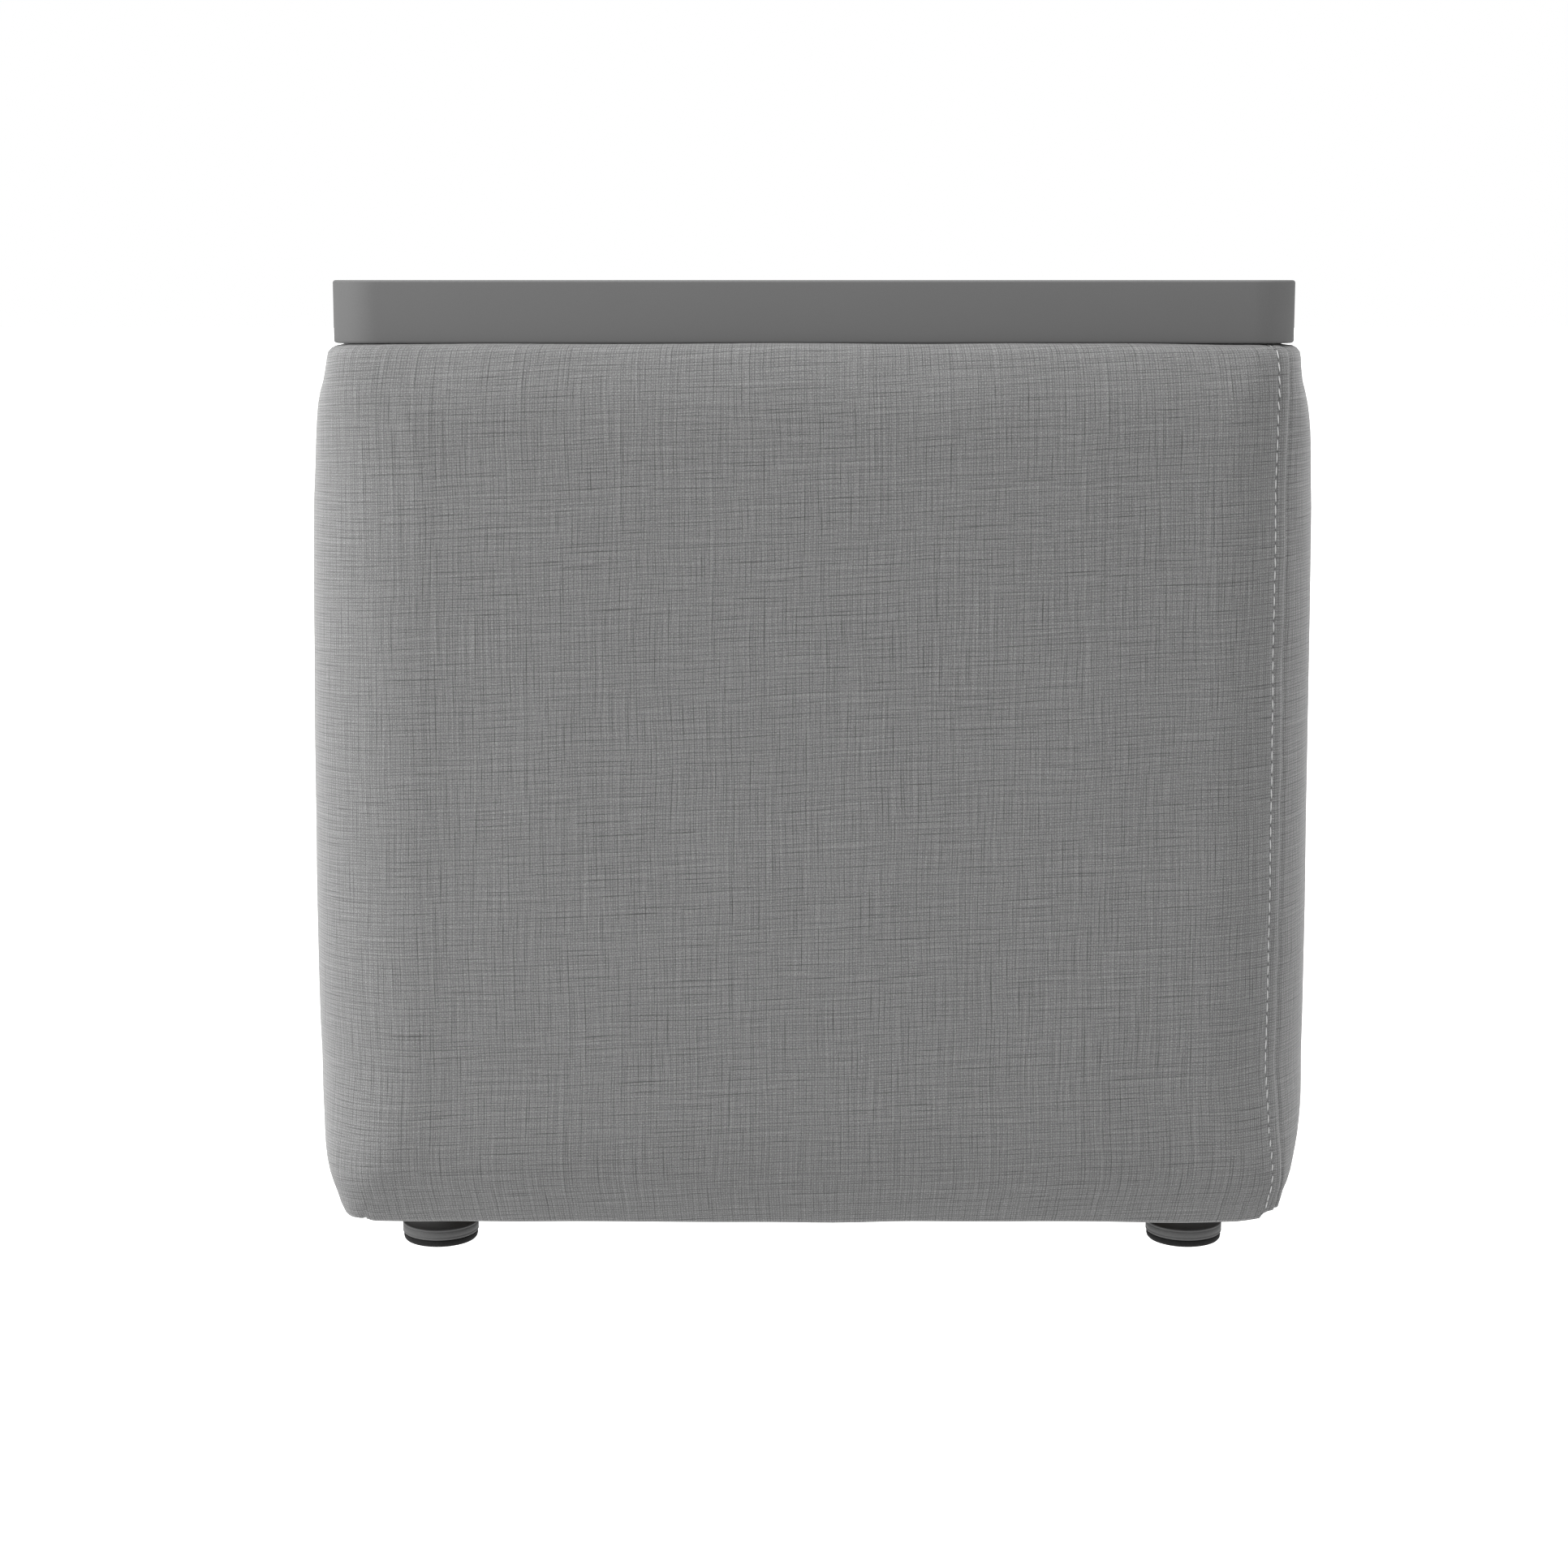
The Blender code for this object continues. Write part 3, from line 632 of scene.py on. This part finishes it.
def skinPoint(around, reach):
    inset, height, inward, upward = profileAt(reach)
    place, outward, right = outlineAt(around, inset, height)
    normal = (outward * -upward + Vector((0, 0, -inward))).normalized()
    along = (outward * -inward + Vector((0, 0, upward))).normalized()
    spot = Vector((place.x, place.y, height)) + normal * reliefAt(around, reach)
    spot.z += footLift(around, height) * (1 - ramp(inset, *footSpec["underFade"]))
    return spot, normal, along, right


def makeCover(spec, material):
    shape = bmesh.new()
    bmesh.ops.create_cube(shape, size=1)
    bmesh.ops.scale(shape, vec=(2 * coverHalf, 2 * coverHalf, 1), verts=shape.verts)
    bmesh.ops.translate(shape, vec=(0, 0, 0.5), verts=shape.verts)
    for seamed, columns in ((True, spec["cornerColumns"]), (False, spec["plainColumns"])):
        corners = [e for e in shape.edges if riseOf(e) > 0.5
                   and all(abs(abs(e.verts[0].co[axis]) - coverHalf) < tiny for axis in (0, 1))
                   and (e.verts[0].co.x * e.verts[0].co.y < 0) == seamed]
        rounded(shape, corners, spec["cornerRadius"], columns)
    caps = [f for f in shape.faces if abs(f.normal.z) > 0.9]
    bmesh.ops.delete(shape, geom=caps, context="FACES_ONLY")
    long = [e for e in shape.edges if e.calc_length() > 0.2 and riseOf(e) < 0.5]
    bmesh.ops.subdivide_edges(shape, edges=long, cuts=spec["flatColumns"] - 1, use_grid_fill=True)
    crowding = spec["crowding"]
    for vert in shape.verts:
        for axis in (0, 1):
            if abs(vert.co[axis]) < flatHalf - tiny:
                # columns crowd towards the corners
                vert.co[axis] = flatHalf * math.sin(crowding * vert.co[axis] / flatHalf) / math.sin(crowding)
    upright = [e for e in shape.edges if riseOf(e) > 0.5]
    bmesh.ops.subdivide_edges(shape, edges=upright, cuts=spec["rows"] - 2, use_grid_fill=True)
    bmesh.ops.recalc_face_normals(shape, faces=shape.faces)
    yarns = shape.loops.layers.uv.new("yarns")
    steps = spec["rows"] - 1
    shiftAcross, shiftUp = spec["panelShift"]
    for face in shape.faces:
        middle = face.calc_center_median()
        here = aroundOf(middle.x, middle.y)
        panel = 0 if not seams[0] < here < seams[1] else 1
        for loop in face.loops:
            around = aroundOf(loop.vert.co.x, loop.vert.co.y)
            reach = rowReach[round((1 - loop.vert.co.z) * steps)]
            inset, height, _, _ = profileAt(reach)
            thread = threadAt(around, inset, height)
            if thread - here > 2 * sideLength:
                thread -= 4 * sideLength
            if here - thread > 2 * sideLength:
                thread += 4 * sideLength
            if panel == 0 and here >= seams[1]:
                thread -= 4 * sideLength
            loop[yarns].uv = (thread + shiftAcross * panel, 1.0 - reach + shiftUp * panel)
    for vert in shape.verts:
        around = aroundOf(vert.co.x, vert.co.y)
        reach = rowReach[round((1 - vert.co.z) * steps)]
        vert.co = skinPoint(around, reach)[0]
    piece = finished("upholsteryCover", shape, material)
    wall = piece.modifiers.new("clothThickness", "SOLIDIFY")
    wall.thickness = spec["thick"]
    wall.offset = -1
    return piece


def makeStitches(spec, seam, name, thread, holeShadeLook):
    threads, holes = bmesh.new(), bmesh.new()
    count = int((profileReach[-1] - spec["stopBefore"] - rimReach) / spec["stitchPitch"])
    for i in range(count):
        reach = rimReach + (i + 0.5) * spec["stitchPitch"]
        spot, normal, along, right = skinPoint(besideSeam(seam, -spec["stitchSetback"], reach), reach)
        turn = Matrix((right, along, normal)).transposed().to_4x4()
        lean = Matrix.Rotation(math.radians(dice.uniform(-spec["stitchLean"], spec["stitchLean"])), 4, "Z")
        size = Matrix.Diagonal((spec["threadRadius"], spec["stitchLength"] / 2 * dice.uniform(*spec["stitchVary"]),
                                spec["threadRadius"] * spec["threadFlat"], 1))
        place = Matrix.Translation(spot + normal * spec["threadRadius"] * spec["threadRise"])
        bmesh.ops.create_uvsphere(threads, u_segments=7, v_segments=5, radius=1,
                                  matrix=place @ turn @ lean @ size @ Matrix.Rotation(math.pi / 2, 4, "X"))
        # a near-black flattened spot at each needle hole between the stitches: painted shade of the hole
        reach += spec["stitchPitch"] / 2
        spot, normal, along, right = skinPoint(besideSeam(seam, -spec["stitchSetback"], reach), reach)
        turn = Matrix((right, along, normal)).transposed().to_4x4()
        size = Matrix.Diagonal((*(spec["holeRadius"] * share for share in spec["holeShape"]), 1))
        bmesh.ops.create_uvsphere(holes, u_segments=6, v_segments=4, radius=1,
                                  matrix=Matrix.Translation(spot) @ turn @ size)
    row = finished(name, threads, thread)
    holeShadeDots = finished(name + "HoleShade", holes, holeShadeLook)
    for piece in (row, holeShadeDots):
        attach(piece, "case")
    return row, holeShadeDots


# Foam pads between the case walls and the cover.
foamSpec = {
    "clear": 0.0040,  # room left under the cloth
    "cuts": 22,
    "edge": 0.0030,
    "edgeSegments": 3,
    "shorter": 0.0008,
    "skinInset": 0.0174,  # the pads follow the skin as far in as this
}


def outerInset(height):
    outside = profileCurve[profileCurve[:, 0] < foamSpec["skinInset"]]
    order = np.argsort(outside[:, 1])
    return float(np.interp(height, outside[order, 1], outside[order, 0]))


def insideCover(spot, clear):
    # the nearest place to this one that is inside the cover by the clearance
    inset = outerInset(spot.z) + clear
    radius, half = cornerOf(inset, spot.z)
    x, y = abs(spot.x), abs(spot.y)
    limit = half + radius
    if x > half and y > half:
        away = Vector((x - half, y - half))
        if away.length > radius:
            away *= radius / away.length
        x, y = half + away.x, half + away.y
    return Vector((math.copysign(min(x, limit), spot.x), math.copysign(min(y, limit), spot.y), spot.z))


def makeFoamPad(side, spec, material):
    low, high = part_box(f"foam_{side}")
    shape = bmesh.new()
    bmesh.ops.create_cube(shape, size=1)
    bmesh.ops.scale(shape, vec=high - low - Vector((0, 0, spec["shorter"])), verts=shape.verts)
    bmesh.ops.translate(shape, vec=(low + high) / 2, verts=shape.verts)
    rounded(shape, shape.edges[:], spec["edge"], spec["edgeSegments"])
    long = [e for e in shape.edges if e.calc_length() > 0.05]
    bmesh.ops.subdivide_edges(shape, edges=long, cuts=spec["cuts"], use_grid_fill=True)
    for vert in shape.verts:
        vert.co = insideCover(vert.co, spec["clear"])
        vert.co.z += footLift(aroundOf(vert.co.x, vert.co.y), vert.co.z)
    bmesh.ops.remove_doubles(shape, verts=shape.verts, dist=1e-5)
    bmesh.ops.recalc_face_normals(shape, faces=shape.faces)
    piece = finished("foamPad" + side.capitalize(), shape, material)
    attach(piece, "case")
    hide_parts(f"foam_{side}")
    return piece


# Felt lining of the storage room, with a bound rim.
liningSpec = {
    "cornerRadius": 0.0104,
    "cornerSegments": 10,
    "footRadius": 0.006,
    "footSegments": 5,
    "slices": 30,
    "thick": 0.0012,
    "wave": 0.0007,
    "waveScales": (11, 27),
    "rimFade": 0.03,  # the waves die away this far below the rim
    "footClear": 0.008,
    "smoothAngle": 50,
    "bindingWidth": 0.0115,
    "bindingThick": 0.0019,
    "bindingInset": 0.0001,
    "bindingRise": 0.0008,
    "bindingEdge": 0.0006,
    "bindingSmoothAngle": 40,
    "stitchPitch": 0.0052,
    "stitchHeight": 0.0024,  # above the binding's lower edge
    "stitchSize": (0.0018, 0.0003, 0.0003),
}


def makeLining(spec, felt, tape, thread):
    low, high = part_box("storage_liner")
    shape = uprightPrism(high.x, high.y, low.z, high.z, spec["cornerRadius"], spec["cornerSegments"])
    top = [f for f in shape.faces if f.normal.z > 0.9]
    bmesh.ops.delete(shape, geom=top, context="FACES_ONLY")
    foot = [e for e in shape.edges if all(abs(v.co.z - low.z) < tiny for v in e.verts) and len(e.link_faces) == 2]
    rounded(shape, foot, spec["footRadius"], spec["footSegments"])
    for step in range(1, spec["slices"]):
        for axis in range(3):
            where, normal = Vector((0, 0, 0)), Vector((0, 0, 0))
            normal[axis] = 1
            where[axis] = low[axis] + (high[axis] - low[axis]) * step / spec["slices"]
            bmesh.ops.bisect_plane(shape, geom=shape.verts[:] + shape.edges[:] + shape.faces[:], dist=1e-6,
                                   plane_co=where, plane_no=normal)
    broad, close = spec["waveScales"]
    for vert in shape.verts:
        spot = vert.co
        rim = min(1.0, (high.z - spot.z) / spec["rimFade"]) * (1 if spot.z > low.z + spec["footClear"] else 0)
        wave = spec["wave"] * (0.5 + noise.noise(spot * broad) + 0.5 * noise.noise(spot * close)) * rim
        pull = Vector((spot.x, spot.y, 0)).normalized()
        vert.co = spot - pull * max(wave, 0)
    bmesh.ops.recalc_face_normals(shape, faces=shape.faces)
    lining = finished("storageLining", shape, felt)
    softened(lining, spec["smoothAngle"])
    wall = lining.modifiers.new("feltThickness", "SOLIDIFY")
    wall.thickness = spec["thick"]
    wall.offset = -1
    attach(lining, "case")
    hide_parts("storage_liner")
    edge = high.x - spec["bindingInset"]
    band = uprightPrism(edge, edge, high.z - spec["bindingWidth"], high.z + spec["bindingRise"],
                        spec["cornerRadius"], spec["cornerSegments"])
    caps = [f for f in band.faces if abs(f.normal.z) > 0.9]
    bmesh.ops.delete(band, geom=caps, context="FACES_ONLY")
    bmesh.ops.recalc_face_normals(band, faces=band.faces)
    rim = band.faces[:]
    bmesh.ops.solidify(band, geom=rim, thickness=-spec["bindingThick"])
    bmesh.ops.recalc_face_normals(band, faces=band.faces)
    ends = [e for e in band.edges if riseOf(e) < tiny and e.calc_face_angle(0) > 1.2]
    rounded(band, ends, spec["bindingEdge"], 2)
    binding = finished("liningBinding", band, tape)
    softened(binding, spec["bindingSmoothAngle"])
    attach(binding, "case")
    stitches = bmesh.new()
    face, reach = edge - spec["bindingThick"], high.x - spec["cornerRadius"] - 0.002
    stitchZ = high.z - spec["bindingWidth"] + spec["stitchHeight"]
    count = int(2 * reach / spec["stitchPitch"])
    for quarter in range(4):
        turn = Matrix.Rotation(quarter * math.pi / 2, 4, "Z")
        for i in range(count):
            place = turn @ Matrix.Translation((-reach + (i + 0.5) * spec["stitchPitch"], -face, stitchZ))
            bmesh.ops.create_uvsphere(stitches, u_segments=6, v_segments=4, radius=1,
                                      matrix=place @ Matrix.Diagonal((*spec["stitchSize"], 1)))
    seam = finished("bindingStitches", stitches, thread)
    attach(seam, "case")


# Dust sheet under the base, with holes for the glides.
dustSpec = {
    "cells": 64,
    "glideAt": 0.1766,
    "glideHole": 0.0125,
    "rise": 0.0005,
    "sag": 0.0006,
    "edge": 0.05,
    "thick": 0.0005,
}


def makeDustSheet(spec, material):
    low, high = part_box("dust_cover")
    shape = bmesh.new()
    bmesh.ops.create_grid(shape, x_segments=spec["cells"], y_segments=spec["cells"], size=high.x)
    glide = spec["glideAt"]
    near = [v for v in shape.verts
            if Vector((abs(v.co.x) - glide, abs(v.co.y) - glide)).length < spec["glideHole"]]
    bmesh.ops.delete(shape, geom=near, context="VERTS")
    bmesh.ops.translate(shape, vec=(0, 0, low.z + spec["rise"]), verts=shape.verts)
    for vert in shape.verts:
        edge = min(1.0, (high.x - max(abs(vert.co.x), abs(vert.co.y))) / spec["edge"])
        vert.co.z -= spec["sag"] * edge * (1 + noise.noise(vert.co * 14))
    bmesh.ops.recalc_face_normals(shape, faces=shape.faces)
    piece = finished("dustSheet", shape, material)
    wall = piece.modifiers.new("sheetThickness", "SOLIDIFY")
    wall.thickness = spec["thick"]
    wall.offset = 0
    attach(piece, "case")
    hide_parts("dust_cover")


# The lid's moulded cap.
lidSpec = {
    "cornerRadius": 0.022,
    "cornerSegments": 20,
    "edgeRadius": 0.0012,
    "edgeSegments": 4,
    "wall": 0.003,
    "smoothAngle": 40,
    "colour": 0.0685,
    "specular": 0.3,
    "roughness": (0.66, 0.74),
    "grainScale": 2600.0,
    "grain": (0.94, 1.06),
    "cloudScale": 9.0,
    "cloud": (0.975, 1.025),
    "bumpStrength": 0.25,
    "bumpDepth": 0.00012,
}


def makeLidPlastic(spec):
    made, tree, shader = makeMaterial("lidMoulding", spec["roughness"][0])
    shader.inputs["Specular IOR Level"].default_value = spec["specular"]
    where = objectPlace(tree)
    grain = grainOf(tree, where, spec["grainScale"], 3.0, 0.6)
    cloud = grainOf(tree, where, spec["cloudScale"], 3.0)
    level = calc(tree, "MULTIPLY", spread(tree, cloud, 0.3, 0.7, spec["cloud"]),
                 spread(tree, grain, 0.25, 0.75, spec["grain"]))
    feed(tree, shader.inputs["Base Color"], tinted(tree, grey(spec["colour"]), level))
    feed(tree, shader.inputs["Roughness"], spread(tree, cloud, 0.3, 0.7, spec["roughness"]))
    bumped(tree, shader, grain, spec["bumpStrength"], spec["bumpDepth"])
    return made


def makeLid(spec, material):
    low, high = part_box("lid_shell")
    shape = uprightPrism(high.x, high.y, low.z, high.z, spec["cornerRadius"], spec["cornerSegments"])
    under = [f for f in shape.faces if f.normal.z < -0.9]
    bmesh.ops.inset_region(shape, faces=under, thickness=spec["wall"], use_even_offset=True)
    under = [f for f in shape.faces if f.normal.z < -0.9 and len(f.verts) > 8]
    raised = bmesh.ops.extrude_face_region(shape, geom=under)
    verts = [v for v in raised["geom"] if isinstance(v, bmesh.types.BMVert)]
    bmesh.ops.translate(shape, vec=(0, 0, high.z - low.z - spec["wall"]), verts=verts)
    bmesh.ops.delete(shape, geom=under, context="FACES_ONLY")
    bmesh.ops.recalc_face_normals(shape, faces=shape.faces)

    def onOutside(vert):
        x, y = abs(vert.co.x) - high.x, abs(vert.co.y) - high.y
        radius = spec["cornerRadius"]
        return max(x, y) > -tiny or Vector((x + radius, y + radius)).length > radius - 1e-5

    rims = [e for e in shape.edges if riseOf(e) <= tiny and len(e.link_faces) == 2
            and all(onOutside(v) for v in e.verts) and e.calc_face_angle(0) > 1]
    rounded(shape, rims, spec["edgeRadius"], spec["edgeSegments"])
    piece = finished("lidCap", shape, material)
    softened(piece, spec["smoothAngle"])
    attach(piece, "lid")
    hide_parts("lid_shell")


# The glides, each turned from (radius, height) points.
glideSpec = {
    "steps": 72,
    "smoothAngle": 30,
    "disc": ((0.0028, 0.0237), (0.0090, 0.0237), (0.0090, 0.0112), (0.0094, 0.0104), (0.0165, 0.0086), (0.0172, 0.0088),
             (0.0177, 0.0088), (0.0180, 0.0085), (0.0180, 0.0082), (0.0177, 0.0079), (0.0177, 0.0077), (0.0179, 0.0075),
             (0.0179, 0.0052), (0.01775, 0.0050), (0.01775, 0.0049), (0.0179, 0.0047), (0.0179, 0.0041),
             (0.0177, 0.0039), (0.0176, 0.0037), (0.0058, 0.0037), (0.0058, 0.0076), (0.0028, 0.0076),
             (0.0028, 0.0237)),
    "pad": ((0.0, 0.0), (0.0160, 0.0), (0.0168, 0.0003), (0.0173, 0.0009), (0.0175, 0.0017), (0.0175, 0.0030),
            (0.0172, 0.0034), (0.0, 0.0034)),
}


def turnedPiece(name, profile, middle, material):
    shape = bmesh.new()
    points = [shape.verts.new((radius, 0, height)) for radius, height in profile]
    edges = [shape.edges.new(pair) for pair in zip(points, points[1:])]
    bmesh.ops.spin(shape, geom=points + edges, cent=(0, 0, 0), axis=(0, 0, 1), angle=2 * math.pi,
                   steps=glideSpec["steps"], use_merge=True)
    bmesh.ops.remove_doubles(shape, verts=shape.verts, dist=1e-6)
    bmesh.ops.recalc_face_normals(shape, faces=shape.faces)
    bmesh.ops.translate(shape, vec=middle, verts=shape.verts)
    piece = finished(name, shape, material)
    softened(piece, glideSpec["smoothAngle"])
    return piece


def simpleMaterial(name, colour, roughness, scale, amount, bump, metallic=0.0, specular=0.5):
    # scale and amount are the grain's, and bump is its depth
    made, tree, shader = makeMaterial(name, roughness)
    shader.inputs["Metallic"].default_value = metallic
    shader.inputs["Specular IOR Level"].default_value = specular
    grain = grainOf(tree, objectPlace(tree), scale, 3.0)
    dark = tuple(c * (1 - amount) for c in colour)
    light = tuple(c * (1 + amount) for c in colour)
    feed(tree, shader.inputs["Base Color"], blendOf(tree, spread(tree, grain, 0.3, 0.7), dark, light))
    bumped(tree, shader, grain, 0.4, bump)
    return made


makeCamera(cameraSpec)
makeStudio(studioSpec)
scene.view_settings.view_transform = "Standard"
print("camera and studio ready")

coverCloth = makeCoverCloth(clothSpec)
lidMoulding = makeLidPlastic(lidSpec)
stitchThread = simpleMaterial("stitchThread", grey(0.36), 0.7, 4000, 0.15, 0.0001)
# near-black for the needle-hole spots: painted shade of the holes
paintedHoleShade = simpleMaterial("paintedHoleShade", grey(0.05), 0.95, 2000, 0.2, 0.0001)
liningFelt = simpleMaterial("liningFelt", grey(0.095), 0.95, 900, 0.35, 0.0006)
bindingTape = simpleMaterial("bindingTape", grey(0.060), 0.85, 1600, 0.3, 0.0004)
dustCloth = simpleMaterial("dustCloth", grey(0.022), 0.9, 1500, 0.4, 0.0003)
hookTape = simpleMaterial("hookTape", grey(0.045), 0.9, 1400, 0.4, 0.0004)
padFoam = simpleMaterial("padFoam", (0.70, 0.67, 0.58), 0.95, 1100, 0.12, 0.0006)
fibreBoard = simpleMaterial("fibreBoard", (0.42, 0.31, 0.20), 0.78, 700, 0.16, 0.0002)
glidePlastic = simpleMaterial("glidePlastic", grey(0.080), 0.62, 1200, 0.05, 0.00006, specular=0.15)
glideRubber = simpleMaterial("glideRubber", grey(0.010), 0.8, 900, 0.2, 0.0002, specular=0.15)
zincScrew = simpleMaterial("zincScrew", (0.56, 0.56, 0.54), 0.35, 600, 0.1, 0.00005, metallic=1.0)

slotLooks = {
    "cover_fabric": coverCloth, "liner_fabric": liningFelt, "dust_fabric": dustCloth, "grip_tape": hookTape,
    "pad_foam": padFoam, "case_board": fibreBoard, "lid_plastic": lidMoulding, "foot_plastic": glidePlastic,
    "foot_rubber": glideRubber, "screw_steel": zincScrew,
}
for entry in frame["record"]["subparts"]:
    frame["nodes"][entry["node"]].material_slots[0].material = slotLooks[entry["material_slot"]]
print("materials ready")

cover = makeCover(coverSpec, coverCloth)
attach(cover, "case")
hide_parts("fabric_cover")
print("cover ready:", len(cover.data.polygons), "faces")
pads = [makeFoamPad(side, foamSpec, padFoam) for side in ("front", "back", "left", "right")]
print("foam pads ready")
stitching = [*makeStitches(seamSpec, seams[0], "topstitchFrontRight", stitchThread, paintedHoleShade),
             *makeStitches(seamSpec, seams[1], "topstitchBackLeft", stitchThread, paintedHoleShade)]
print("stitches ready")
makeLining(liningSpec, liningFelt, bindingTape, stitchThread)
makeDustSheet(dustSpec, dustCloth)
print("lining and dust sheet ready")

makeLid(lidSpec, lidMoulding)
for end in ("front", "back"):
    for side in ("left", "right"):
        corner = end.capitalize() + side.capitalize()
        low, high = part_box(f"foot_disc_{end}_{side}")
        middle = ((low.x + high.x) / 2, (low.y + high.y) / 2, 0)
        for kind, cad, look, finish in (("disc", "foot_disc", glidePlastic, "foot_plastic"),
                                        ("pad", "foot_pad", glideRubber, "foot_rubber")):
            piece = turnedPiece("glide" + kind.capitalize() + corner, glideSpec[kind], middle, look)
            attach(piece, "case")
            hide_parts(f"{cad}_{end}_{side}")
print("lid and glides ready")
